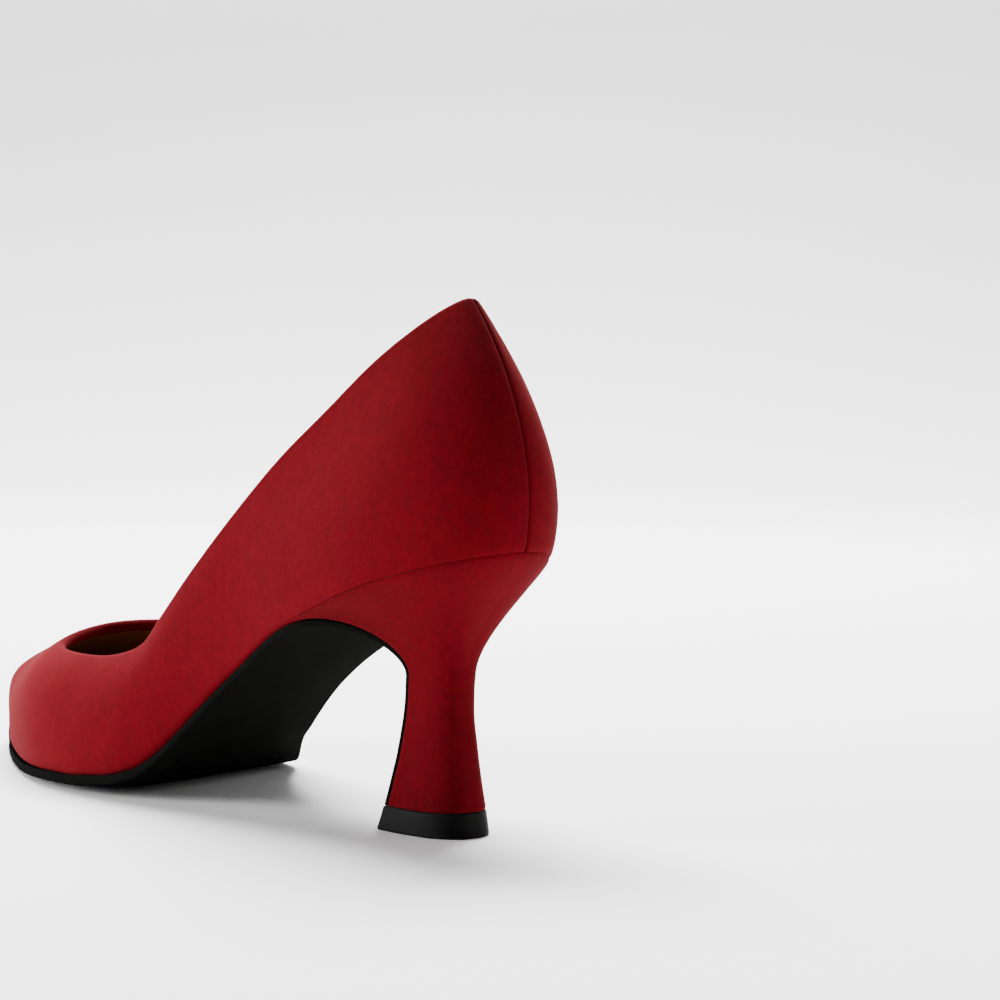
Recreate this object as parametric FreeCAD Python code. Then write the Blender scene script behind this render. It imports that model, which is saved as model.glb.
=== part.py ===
import FreeCAD, Part
import math
import os

# Left high heel pump, EU 37, 65 mm flared heel.  Working coordinates are s (forward from the
# rearmost point of the counter), w (towards the outer side of the foot) and z (up), in mm.

V = FreeCAD.Vector

# ---- driving dimensions -------------------------------------------------------------------
SUEDE = 1.0            # thickness of the outer leather
MID_IN, MID_OUT = 1.15, 1.60     # depth range of counter, toe puff and interlining
LINE_IN, LINE_OUT = 1.75, 2.45   # depth range of the lining
FOLD_RADIUS = 1.45     # half thickness of the turned topline
FOLD_DROP = 1.0        # how far the turned edge reaches down inside
LINING_DROP = 1.8      # distance from topline to the edge of the lining
CORNER = 2.4           # rounding of the lower edge of the upper
MARGIN = 12.0          # width of the lasting margin
SOLE_START = 54.3      # where the sole leaves the waist and turns down the heel
NECK = 36.0            # height of the slimmest part of the heel
TOP_PIECE = 5.8        # thickness of the top piece
FLAP_END = 1.15        # thickness of the sole's flap where it ends on the top piece
COVER = 0.6            # thickness of the heel covering
SEAM = 0.0007          # half the opening of a seam, in turns round the shoe
MEDIAL_SEAM = 20.7 / 28
INSOLE = (2.60, 4.20)  # height range above the lower edge surface
FOAM = (4.25, 6.05)
SOCK = (6.10, 6.90)

# One row per rib, from the back seam round the outer side, the toe and the inner side:
# lower edge (s, w), topline (s, w, z), lean at the bottom, lean at the top, handle lengths.
RIBS = [
    ((1.4, -0.4), (20.3, -0.6, 121.3), 14, 42, .42, .21),
    ((3.1, 7.7), (23.0, 4.3, 119.5), 14, 37, .42, .23),
    ((9.2, 15.8), (29.4, 10.4, 113.9), 13, 26, .40, .27),
    ((20, 21.8), (39, 15, 106.2), 11, 17, .37, .32),
    ((36, 25.6), (52, 18.8, 95.4), 9, 13, .35, .33),
    ((56, 26), (67, 21.8, 84.1), 9, 12, .35, .33),
    ((78, 25), (83, 24.3, 70.5), 12, 12, .35, .33),
    ((98, 26.8), (98, 26.6, 56.6), 14, 16, .35, .33),
    ((113, 30.3), (109.5, 28, 45.3), 14, 22, .35, .33),
    ((125, 33.8), (118, 28.9, 37.6), 13, 30, .35, .33),
    ((141, 36.3), (134, 28.9, 33.8), 12, 38, .35, .35),
    ((160, 35.0), (154.5, 27.8, 33.2), 10, 46, .35, .38),
    ((182, 28), (171, 22.4, 34.2), 8, 56, .32, .42),
    ((210, 15.5), (178.5, 12, 36.4), 6, 65, .26, .45),
    ((239, -4), (180.5, 0.5, 38.0), 5, 68, .20, .47),
    ((212, -19), (176.5, -10.5, 38.5), 6, 66, .26, .45),
    ((184, -30), (166.5, -20, 38.0), 8, 58, .32, .42),
    ((162, -36.3), (150.5, -25.8, 36.8), 10, 48, .35, .38),
    ((143, -33.6), (132, -26.6, 38.0), 12, 38, .35, .35),
    ((126, -25.4), (117, -26.3, 44.0), 14, 28, .35, .33),
    ((108, -20.5), (104.5, -25.2, 53.8), 14, 16, .35, .33),
    ((92, -18.2), (91, -24, 64), 14, 12, .35, .33),
    ((74, -18.0), (76, -22.6, 76.4), 12, 12, .35, .33),
    ((54, -21.6), (62, -20.6, 87.2), 10, 12, .35, .33),
    ((35, -23.2), (49, -17.6, 97.4), 9, 13, .35, .33),
    ((20.2, -19.5), (38, -14.4, 106.6), 14, 16, .38, .32),
    ((9.8, -14.0), (29.5, -10.4, 113.4), 18, 25, .40, .27),
    ((3.6, -7.8), (23.4, -5.4, 118.9), 15, 36, .42, .23),
]


# ---- curves -------------------------------------------------------------------------------
def smooth(table):
    """Monotone cubic through (x, y) pairs, straight beyond the ends."""
    n = len(table)
    slope = [(table[i + 1][1] - table[i][1]) / (table[i + 1][0] - table[i][0]) for i in range(n - 1)]
    tangent = [slope[0]]
    for a, b in zip(slope, slope[1:]):
        tangent.append(0.0 if a * b <= 0 else 2 * a * b / (a + b))
    tangent.append(slope[-1])

    def value(x):
        if x <= table[0][0]:
            return table[0][1] + tangent[0] * (x - table[0][0])
        if x >= table[-1][0]:
            return table[-1][1] + tangent[-1] * (x - table[-1][0])
        i = max(k for k in range(n - 1) if table[k][0] <= x)
        h = table[i + 1][0] - table[i][0]
        t = (x - table[i][0]) / h
        return (table[i][1] * (1 + 2 * t) * (1 - t) ** 2 + h * tangent[i] * t * (1 - t) ** 2
                + table[i + 1][1] * t * t * (3 - 2 * t) - h * tangent[i + 1] * t * t * (1 - t))
    return value


def closed(rows):
    """Closed smooth curve through rows of numbers; the argument counts turns."""
    n = len(rows)

    def value(u):
        x = (u % 1.0) * n
        i = int(x) % n
        t = x - int(x)
        near = (rows[i - 1], rows[i], rows[(i + 1) % n], rows[(i + 2) % n])
        return [0.5 * (2 * q + (r - p) * t + (2 * p - 5 * q + 4 * r - o) * t * t
                       + (3 * q - p - 3 * r + o) * t ** 3) for p, q, r, o in zip(*near)]
    return value


def bezier(p, t):
    b = ((1 - t) ** 3, 3 * t * (1 - t) ** 2, 3 * t * t * (1 - t), t ** 3)
    return p[0] * b[0] + p[1] * b[1] + p[2] * b[2] + p[3] * b[3]


foot = closed([r[0] for r in RIBS])
topline = closed([r[1] for r in RIBS])
shaping = closed([r[2:] for r in RIBS])

# Height of the lower edge along the shoe, how much it skews across, and how far the inner
# side is lifted under the arch of the foot.
profile = smooth([(-10, 69), (0, 65.8), (23, 59.2), (38, 54.0), (52, 48.8), (66, 43.6), (80, 36.6),
                  (91, 30.2), (101, 23.6), (110, 17.0), (118, 11.3), (126, 6.7), (136, 3.4),
                  (150, 2.3), (165, 2.2), (180, 2.4), (200, 3.6), (220, 5.8), (240, 8.6)])
skew = smooth([(0, 0), (56, 0), (66, .06), (80, .15), (100, .23), (120, .27), (140, .28),
               (165, .12), (180, 0), (240, 0)])
lift = smooth([(0, 0), (57, 0), (66, 1.5), (82, 4), (97, 5), (113, 5.6), (124, 5.6), (133, 3.2),
               (140, .4), (147, 0), (160, 0), (240, 0)])
rise = smooth([(0, 0), (106, 0), (116, .9), (125, 1.9), (133, 1.8), (142, 1.4), (200, 1.2), (240, 1.0)])
thick = smooth([(0, 1.7), (60, 1.7), (100, 2.0), (120, 2.2), (135, 2.4), (240, 2.4)])


def seat(s, w):
    """Height of the surface on which upper and sole meet."""
    z = profile(s + skew(s) * (w if w > 0 else w * (1 + 0.010 * w)))
    if w < 0:
        z += lift(s) * (w / 34) ** 2 * (1 + max(0.0, 120 - s) / 60)
    return z + rise(s) * (w / 34) ** 4 * (1 if w > 0 else 0.4)


def edge(u):
    s, w = foot(u)
    return V(s, w, seat(s, w))


def outward(u):
    a, b = foot(u - 0.004), foot(u + 0.004)
    n = V(a[1] - b[1], b[0] - a[0], 0)
    return n.normalize()


def wall(u, v):
    """Outside of the upper between the lower edge (v = 0) and the topline (v = 1)."""
    low, high, reach_low, reach_high = shaping(u)
    p, t, n = edge(u), V(*topline(u)), outward(u)
    span = p.distanceToPoint(t)
    low, high = math.radians(low), math.radians(high)
    a = p + (n * math.sin(low) + V(0, 0, math.cos(low))) * (reach_low * span)
    b = t + (n * math.sin(high) - V(0, 0, math.cos(high))) * (reach_high * span)
    return bezier((p, a, b, t), v)


def inner_side(u):
    """Direction from the lower edge towards the middle of the bottom, and the free distance."""
    s, w = foot(u)
    middle = V(min(max(s, 26), 212), 0.3 * w - 2.0 * max(0.0, min(1.0, (s - 120) / 60)), 0)
    d = middle - V(s, w, 0)
    reach = d.Length
    return d.normalize(), reach


def start_of_wall(u, radius):
    span = edge(u).distanceToPoint(V(*topline(u)))
    return radius / (3 * shaping(u)[2] * span)


def wall_at(u, v, depth):
    """Point of the wall at a depth under its outside."""
    if depth == 0:
        return wall(u, v)
    e = 0.0015
    du = wall(u + e, v) - wall(u - e, v)
    dv = wall(u, min(v + e, 1)) - wall(u, max(v - e, 0))
    return wall(u, v) - dv.cross(du).normalize() * depth


def turned_edge(u, q):
    """Outside of the suede where it turns over the topline and down inside."""
    e = 0.002
    top = wall(u, 1)
    up = (top - wall(u, 1 - e)).normalize()
    n = up.cross(wall(u + e, 1) - wall(u - e, 1)).normalize()
    if q <= 3.6:
        a = math.pi * (q - 3) / 0.6
        return top - n * FOLD_RADIUS + (n * math.cos(a) + up * math.sin(a)) * FOLD_RADIUS
    return top - n * (2 * FOLD_RADIUS) - up * (FOLD_DROP * (q - 3.6) / 0.4)


def layer(u, q, depth):
    """Point of the upper at a depth under its outside, along one rib: q 0-1 lasting margin,
    1-2 rounded lower edge, 2-3 wall, 3-4 turned topline and the part of it that lies inside."""
    if q >= 3:
        if depth == 0:
            return turned_edge(u, q)
        eu, eq = 0.0015, 0.012
        du = turned_edge(u + eu, q) - turned_edge(u - eu, q)
        dq = turned_edge(u, min(q + eq, 4)) - turned_edge(u, max(q - eq, 3))
        return turned_edge(u, q) - dq.cross(du).normalize() * depth
    radius = max(CORNER, depth + 0.7)
    v0 = start_of_wall(u, radius)
    if q >= 2:
        return wall_at(u, v0 + (1 - v0) * (q - 2), depth)
    p = edge(u)
    d, reach = inner_side(u)
    out = min(MARGIN, 0.62 * reach)
    m = out + (radius - out) * min(q, 1)
    g = p + d * m
    g.z = seat(g.x, g.y) + depth
    if q <= 1:
        return g
    t = q - 1
    bend = p + d * depth
    bend.z = g.z
    return g * (1 - t) ** 2 + bend * (2 * t * (1 - t)) + wall_at(u, v0, depth) * t * t


def station_under_top(u, drop, depth):
    """Station at a given distance below the topline."""
    span = edge(u).distanceToPoint(V(*topline(u)))
    v0 = start_of_wall(u, max(CORNER, depth + 0.7))
    return 2 + (1 - drop / (3 * shaping(u)[3] * span) - v0) / (1 - v0)


# ---- solids -------------------------------------------------------------------------------
def chord_knots(lines):
    """Common knots for several rows of points, from the mean distance between neighbours."""
    knots = [0.0]
    for i in range(len(lines[0]) - 1):
        step = sum(row[i].distanceToPoint(row[i + 1]) for row in lines) / len(lines)
        knots.append(knots[-1] + step)
    return knots


def control_row(points, knots):
    """Control points of the smooth curve through points, two per knot."""
    n = len(points)
    h = [b - a for a, b in zip(knots, knots[1:])]
    slope = [(b - a) * (1 / d) for a, b, d in zip(points, points[1:], h)]
    tangent = [slope[0]]
    for i in range(1, n - 1):
        tangent.append((slope[i - 1] * h[i] + slope[i] * h[i - 1]) * (1 / (h[i - 1] + h[i])))
    tangent.append(slope[-1])
    row = [points[0]]
    for i in range(n - 1):
        row.append(points[i] + tangent[i] * (h[i] / 3))
        row.append(points[i + 1] - tangent[i + 1] * (h[i] / 3))
    row.append(points[-1])
    return row


def multiplicities(knots):
    return [4] + [2] * (len(knots) - 2) + [4]


def control_net(grid, ku, kv):
    rows = [control_row(row, kv) for row in grid]
    columns = [control_row(list(column), ku) for column in zip(*rows)]
    return [list(row) for row in zip(*columns)]


def net_surface(net, ku, kv):
    s = Part.BSplineSurface()
    s.buildFromPolesMultsKnots(net, multiplicities(ku), multiplicities(kv), ku, kv, False, False, 3, 3)
    return s


def surface(grid):
    """Smooth surface through a grid of points."""
    ku, kv = chord_knots(list(zip(*grid))), chord_knots(grid)
    return net_surface(control_net(grid, ku, kv), ku, kv)


def strip(one, two, knots):
    """Ruled surface between two rows of control points."""
    s = Part.BSplineSurface()
    s.buildFromPolesMultsKnots([one, two], [2, 2], multiplicities(knots), [0, 1], knots, False, False, 1, 3)
    return s


def sewn(faces):
    shell = Part.makeShell(faces)
    shell.sewShape()
    solid = Part.makeSolid(shell)
    if solid.Volume < 0:
        solid.reverse()
    return solid


def between(one, two):
    """Closed solid between two grids of points with the same rows and columns."""
    ku, kv = chord_knots(list(zip(*one))), chord_knots(one)
    a, b = control_net(one, ku, kv), control_net(two, ku, kv)
    skins = [net_surface(a, ku, kv), net_surface(b, ku, kv), strip(a[0], b[0], kv), strip(a[-1], b[-1], kv),
             strip([r[0] for r in a], [r[0] for r in b], ku),
             strip([r[-1] for r in a], [r[-1] for r in b], ku)]
    return sewn([s.toShape() for s in skins])


def spread(a, b, n):
    return [a + (b - a) * i / (n - 1) for i in range(n)]


def skived(q):
    """Depth of the flesh side of the suede, which is thinned where the topline is turned."""
    return SUEDE * (1 - 0.42 * max(0.0, min(1.0, (q - 2.85) / 0.15)))


def patch(u0, u1, stations, top, bottom):
    """Part of the upper from depth top to depth bottom, where bottom may be a function of the
    station.  A station is a number, or a function of u and depth giving the number."""
    per_turn = 28 * 4
    first, last = math.ceil(u0 * per_turn + 0.3), math.floor(u1 * per_turn - 0.3)
    lattice = [i / per_turn for i in range(first, last + 1)]
    grids = []
    for depth in (top, bottom):
        grids.append([[layer(u, q(u, depth) if callable(q) else q, depth(q) if callable(depth) else depth)
                       for q in stations] for u in [u0] + lattice + [u1]])
    return between(*grids)


def under_top(drop):
    return lambda u, depth: station_under_top(u, drop, depth)


def share(fraction, drop):
    """Station at a fraction of the wall counted up to a line below the topline."""
    return lambda u, depth: 2 + (station_under_top(u, drop, depth) - 2) * fraction


def slab(low, high):
    """Wide plate between two heights above the bottom surface; heights may be functions."""
    grids = []
    for h in (low, high):
        rows = []
        for s in spread(-14, 256, 55):
            row = []
            for w in spread(-46, 46, 19):
                row.append(V(s, w, seat(s, w) + (h(s) if callable(h) else h)))
            rows.append(row)
        grids.append(rows)
    return between(*grids)


def prism(points, low=-30, high=160):
    c = Part.BSplineCurve()
    c.interpolate([V(p[0], p[1], low) for p in points], PeriodicFlag=True)
    return Part.Face(Part.Wire(c.toShape())).extrude(V(0, 0, high - low))


def block(s0, s1, w0, w1, z0=-40, z1=180):
    return Part.makeBox(s1 - s0, w1 - w0, z1 - z0, V(s0, w0, z0))


def outline(inset, n=72):
    """Bottom outline moved towards the middle by inset."""
    pts = []
    for i in range(n):
        u = i / n
        d, reach = inner_side(u)
        g = edge(u) + d * min(inset, 0.7 * reach) if inset > 0 else edge(u) - d * inset
        pts.append((g.x, g.y))
    return pts


def pin(s, w, z, length, radius, direction=V(0, 0, -1)):
    return Part.makeCylinder(radius, length, V(s, w, z), direction)


# ---- heel ---------------------------------------------------------------------------------
heel_back = smooth([(0, 19.6), (5.3, 20.5), (12, 21.4), (20, 22.5), (28, 23.5), (34, 23.3), (38, 22.4)])
heel_front = smooth([(0, 43.1), (5.6, 40.8), (11.3, 39.8), (18.6, 38.3), (30.6, 36.5), (38, 36.0)])
heel_half = smooth([(0, 10.1), (5.3, 9.4), (11.3, 8.3), (18.6, 7.3), (30.6, 6.5), (38, 6.5)])
SQUARE = 2.7


def heel_section(z, u):
    """Level section: u -1 inner front corner, 0 back, 1 outer front corner."""
    b, f, w = heel_back(z), heel_front(z), heel_half(z)
    a = u * math.pi / 2
    c, k = math.cos(a), math.sin(a)
    r = (abs(c) ** SQUARE + abs(k) ** SQUARE) ** (-1 / SQUARE)
    return V(f - (f - b) * c * r, w * k * r, z)


def turn_at(s, side):
    """Turn round the lower edge at a distance s, on the outer (1) or inner (-1) side."""
    lo, hi = (0.02, 0.45) if side > 0 else (0.98, 0.55)
    for _ in range(50):
        m = (lo + hi) / 2
        lo, hi = (m, hi) if foot(m)[0] < s else (lo, m)
    return m if side > 0 else m - 1


OUTER_TIP, INNER_TIP = turn_at(SOLE_START, 1), turn_at(SOLE_START, -1)


def heel_side(u, v):
    """Outside of the heel: v 0 at the top piece, 0.5 at the neck, 1 at the seat."""
    if v <= 0.5:
        return heel_section(TOP_PIECE + (NECK - TOP_PIECE) * v / 0.5, u)
    k = abs(u)
    turn = OUTER_TIP * u if u >= 0 else -INNER_TIP * u
    p, n = heel_section(NECK, u), outward(turn)
    g = foot(turn)
    t = V(g[0], g[1], seat(*g) - 0.1)
    a = p + V(0, 0, 10 - 4 * k)
    lean = math.radians(28 + 62 * k ** 3)
    h = (8 + 2 * k) * (1 - k ** 3)
    b = t - n * (math.sin(lean) * h) - V(0, 0, math.cos(lean) * h)
    b += V(-9.5, -8 if u > 0 else 8, 3.4) * k ** 3
    return bezier((p, a, b, t), (v - 0.5) / 0.5)


def heel_layer(u, v, depth):
    if depth == 0:
        return heel_side(u, v)
    e = 0.01
    du = heel_side(min(u + e, 1), v) - heel_side(max(u - e, -1), v)
    dv = heel_side(u, min(v + e, 1)) - heel_side(u, max(v - e, 0))
    return heel_side(u, v) + dv.cross(du).normalize() * -depth


def heel_body(depth):
    """Solid inside the side of the heel at a depth, ruled from the outer to the inner side."""
    halves = []
    for side in (1, -1):
        grid = [[heel_layer(side * u, v, depth) for v in HEEL_V] for u in [0.02] + spread(0.06, 1, 22)]
        for row in grid:
            row[0].z = TOP_PIECE
        halves.append(grid)
    return between(*halves)


HEEL_V = spread(0, 0.5, 9)[:-1] + spread(0.5, 1, 13)


def breast_grid(gap, sink):
    """Points on the heel breast; sink moves them off the breast, growing with the grid row."""
    rows = []
    for v in HEEL_V:
        a, b = heel_side(-1, v), heel_side(1, v)
        e = 0.01
        up = (heel_side(1, min(v + e, 1)) - heel_side(1, max(v - e, 0)))
        n = V(up.z, 0, -up.x).normalize()
        rows.append([a + (b - a) * t + n * (gap + sink(v)) for t in spread(0, 1, 9)])
    return rows


# ---- pieces -------------------------------------------------------------------------------
parts = {}
MARGIN_Q = [0, 0.4, 0.8, 1]
CORNER_Q = [1.25, 1.5, 1.75, 2]
WALL_Q = [2.06] + spread(2.15, 2.85, 6) + [2.95]
FOLD_Q = [3, 3.15, 3.3, 3.45, 3.6, 4]

suede = MARGIN_Q + CORNER_Q + WALL_Q + FOLD_Q
parts["upper_vamp"] = patch(SEAM, MEDIAL_SEAM - SEAM, suede, 0, skived)
parts["medial_quarter"] = patch(MEDIAL_SEAM + SEAM, 1 - SEAM, suede, 0, skived)

lining = MARGIN_Q + CORNER_Q + [share(f, LINING_DROP) for f in [.06] + spread(.16, 1, 7)]
for name, u0, u1 in (("heel_grip", -2.6, 2.6), ("lateral_quarter_lining", 2.6, 9.6),
                     ("vamp_lining", 9.6, 18.4), ("medial_quarter_lining", 18.4, 25.4)):
    parts[name] = patch(u0 / 28 + SEAM, u1 / 28 - SEAM, lining, LINE_IN, LINE_OUT)

base = MARGIN_Q + CORNER_Q
parts["heel_counter"] = patch(-4.6 / 28, 4.6 / 28, base + [2 + f for f in spread(.06, .72, 9)],
                              MID_IN, MID_OUT)
parts["toe_puff"] = patch(12 / 28, 16 / 28, base + [2 + f for f in spread(.06, .55, 8)], MID_IN, MID_OUT)
felt = base + [share(f, 8.0) for f in [.05] + spread(.1, 1, 9)]
parts["lateral_interlining"] = patch(4.75 / 28, 11.85 / 28, felt, MID_IN, MID_OUT)
parts["medial_interlining"] = patch(16.15 / 28, 23.25 / 28, felt, MID_IN, MID_OUT)
tape = [under_top(d) for d in (6.5, 5.0, 3.5, 2.0, 1.0)]
parts["topline_tape"] = patch(SEAM, 1 - SEAM, tape, MID_IN, MID_OUT)
parts["back_seam_tape"] = patch(-1.0 / 28, 1.0 / 28, [2 + f for f in spread(.74, .90, 5)], MID_IN, MID_OUT)

# bottom
inner = outline(3.6)
parts["insole_board"] = slab(*INSOLE).common(prism(inner))
parts["sock_foam"] = slab(*FOAM).common(prism(outline(3.4)))
parts["sock_lining"] = slab(*SOCK).common(prism(outline(3.3)))
well = prism(outline(MARGIN + 1.0))
parts["forepart_filler"] = slab(0.1, 2.5).common(well).common(block(120, 222, -60, 60))
parts["shank_board"] = slab(1.4, 2.5).common(well).common(block(34, 118, -60, 60))
parts["steel_shank"] = slab(0.2, 1.3).common(block(19, 117, -5, 5))
spots = [(46, 0), (104, 0)]
rivets = []
for s, w in spots:
    z = seat(s, w)
    tilt = V(profile(s - 1) - profile(s + 1), 0, 2).normalize()
    for name in ("steel_shank", "shank_board"):
        parts[name] = parts[name].cut(pin(s, w, z, 12, 1.55, tilt).fuse(pin(s, w, z, 12, 1.55, tilt * -1)))
    rivets.append(pin(s, w, z, 2.2, 1.5, tilt).translate(tilt * 0.25))
parts["shank_rivets"] = Part.makeCompound(rivets)

# heel
cover = [[[heel_layer(u, v, d) for v in HEEL_V] for u in spread(-1, 1, 49)] for d in (0, COVER)]
parts["heel_cover"] = between(*cover)
body = heel_body(COVER + 0.05)
SCREW_S, TUBE_S = 28, 30
screw_top = seat(SCREW_S, 0) + INSOLE[1]
body = body.cut(pin(SCREW_S, 0, screw_top, 15.1, 2.0))
body = body.cut(pin(TUBE_S, 0, 44, 60, 2.5))
nails = [(16, -4.5), (16, 4.5), (35, -4.5), (35, 4.5)]
for s, w in nails:
    body = body.cut(pin(s, w, seat(s, w) + 6, 15.4, 0.85))
parts["heel_block"] = body
parts["heel_tube"] = pin(TUBE_S, 0, 43.9, 38.5, 2.45).cut(pin(TUBE_S, 0, 60, 60, 1.5))
parts["top_piece_dowel"] = pin(TUBE_S, 0, 18, 15.5, 1.45)

holes = pin(SCREW_S, 0, screw_top + 20, 60, 2.15)
parts["heel_screw"] = pin(SCREW_S, 0, screw_top, 15, 1.95).fuse(
    Part.makeCone(2.0, 3.6, 1.5, V(SCREW_S, 0, screw_top - 1.5)))
sink = Part.makeCone(2.1, 3.9, 1.7, V(SCREW_S, 0, screw_top - 1.6)).fuse(holes)
parts["insole_board"] = parts["insole_board"].cut(sink).cut(
    Part.makeCylinder(3.9, 6, V(SCREW_S, 0, screw_top + 0.1)))
parts["steel_shank"] = parts["steel_shank"].cut(holes)
shafts = []
for s, w in nails:
    z = seat(s, w) + INSOLE[1] - 0.4
    shafts.append(pin(s, w, z, 13, 0.8))
    parts["insole_board"] = parts["insole_board"].cut(pin(s, w, z + 5, 40, 0.9))
    parts["shank_board"] = parts["shank_board"].cut(pin(s, w, z + 5, 40, 0.9))
    parts["steel_shank"] = parts["steel_shank"].cut(pin(s, w, z + 5, 40, 0.9))
parts["heel_nails"] = Part.makeCompound(shafts)

# top piece: flares downwards, flat underneath
def lift_outline(z, grow):
    pts = [heel_section(z, u) for u in spread(-1, 1, 33)]
    mid = V((heel_back(z) + heel_front(z)) / 2, 0, z)
    return [mid + (p - mid) * grow for p in pts]


low, high = lift_outline(0, 1.0), lift_outline(TOP_PIECE - 0.05, 1.01)
for ring, z, share_of in ((low, 0, 0.4), (high, TOP_PIECE, 1)):     # room for the end of the flap
    middle, front = (heel_back(z) + heel_front(z)) / 2, heel_front(z)
    for p in ring:
        p.x += FLAP_END * share_of * max(0, (p.x - middle) / (front - middle)) ** 2
wires = []
for ring in (low, high):
    c = Part.BSplineCurve()
    c.interpolate(ring)
    wires.append(Part.Wire([c.toShape(), Part.makeLine(ring[-1], ring[0])]))
parts["top_piece"] = Part.makeLoft(wires, True, True).cut(pin(TUBE_S, 0, 40, 37.6, 1.5))

# sole: tread and waist, and the flap that runs down the heel breast
tread = slab(lambda s: -0.05 - thick(s), -0.05).common(prism(outline(-0.5)))
tread = tread.common(block(SOLE_START - 0.6, 300, -80, 80)).cut(block(-50, 300, -80, 80, -40, 0))
flap = between(breast_grid(0.05, lambda v: 0), breast_grid(0.05, lambda v: 1.1 + 0.6 * v ** 4))
parts["outsole"] = tread.fuse(flap)

# ---- placing and writing ------------------------------------------------------------------
# Toe towards -Y, outer side towards +X, origin under the middle of the bounding box.
for shape in parts.values():
    shape.rotate(V(0, 0, 0), V(0, 0, 1), -90)
hull = FreeCAD.BoundBox()
for name in ("upper_vamp", "medial_quarter", "outsole", "top_piece"):
    hull.add(parts[name].optimalBoundingBox(False, False))
move = V(-(hull.XMin + hull.XMax) / 2, -(hull.YMin + hull.YMax) / 2, -hull.ZMin)
os.makedirs("parts", exist_ok=True)
for name, shape in parts.items():
    shape.translate(move)
    shape.exportStep("parts/" + name + ".step")
    print(name, shape.ShapeType, len(shape.Solids), shape.isValid(), round(shape.Volume, 1))
print("size", hull.XLength, hull.YLength, hull.ZLength, "moved by", move)
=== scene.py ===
import math

import bmesh
import bpy
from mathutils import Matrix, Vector, noise

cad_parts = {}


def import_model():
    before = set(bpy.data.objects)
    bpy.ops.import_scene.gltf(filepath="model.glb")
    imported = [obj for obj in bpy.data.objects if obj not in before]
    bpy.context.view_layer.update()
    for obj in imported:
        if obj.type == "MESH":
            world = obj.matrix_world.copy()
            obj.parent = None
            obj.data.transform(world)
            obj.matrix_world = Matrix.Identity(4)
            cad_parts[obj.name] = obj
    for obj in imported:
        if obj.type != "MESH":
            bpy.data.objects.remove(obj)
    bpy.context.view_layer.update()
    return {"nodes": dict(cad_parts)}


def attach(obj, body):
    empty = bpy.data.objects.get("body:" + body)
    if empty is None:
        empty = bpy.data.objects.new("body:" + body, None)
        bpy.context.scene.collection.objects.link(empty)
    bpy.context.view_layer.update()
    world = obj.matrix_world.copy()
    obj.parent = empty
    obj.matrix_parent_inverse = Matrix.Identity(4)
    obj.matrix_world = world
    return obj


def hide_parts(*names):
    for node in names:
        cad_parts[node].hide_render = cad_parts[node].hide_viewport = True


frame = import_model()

BODY = "root"
UP = Vector((0, 0, 1))

# The shoe's own coordinates: s forward from the back, w to the outer side, z up, in mm.
# ORIGIN takes them to the row frame, where the toe points to -Y and the outer side to +X.
ORIGIN = (0.0595, 119.499)
MM_PER_METRE = 1000


def point(s, w, z):
    return Vector((s, w, z))


def world(place):
    return Vector((place.y + ORIGIN[0], ORIGIN[1] - place.x, place.z)) / MM_PER_METRE


# ---- camera -------------------------------------------------------------------------------
# A long lens low behind the shoe, on its outer side, that looks slightly down.
CAMERA_PLACE = point(-474.9, 379.1, 102.7)
LENS, SENSOR = 100.008, 36
VIEW_TURN, VIEW_DROP = math.radians(52), math.radians(2.41168)

# Level directions of the picture: away from the camera and to its right.
away = Vector((-math.cos(VIEW_TURN), -math.sin(VIEW_TURN), 0))
right = Vector((away.y, -away.x, 0))


def add_camera():
    data = bpy.data.cameras.new("camera")
    data.sensor_width = SENSOR
    data.lens = LENS
    camera = bpy.data.objects.new("camera", data)
    bpy.context.scene.collection.objects.link(camera)
    camera.location = world(CAMERA_PLACE)
    ahead = away * math.cos(VIEW_DROP) - UP * math.sin(VIEW_DROP)
    camera.rotation_mode = "QUATERNION"
    camera.rotation_quaternion = ahead.to_track_quat("-Z", "Y")
    bpy.context.scene.camera = camera


add_camera()


# ---- form of the shoe ---------------------------------------------------------------------
# Thickness of the suede, and depths of the two sides of the lining below its outside.
SUEDE, LINING_BACK, LINING_FACE = 1.0, 1.75, 2.45
# The turned topline: radius of its bead, and how far the fold and the lining lie below it.
FOLD_RADIUS, FOLD_DROP, LINING_DROP = 1.45, 1.0, 1.3
# Radius of the rounded lower edge and the least by which it exceeds a depth.
CORNER, CORNER_SPARE = 2.4, 0.7
# Width of the lasting margin and the largest share of the way to the middle that it takes.
MARGIN, MARGIN_SHARE = 12.0, 0.62
# Where the sole leaves the heel, and the heights of the heel's neck and of the top piece.
SOLE_START, NECK, TOP_PIECE = 54.3, 36.0, 5.8

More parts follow.
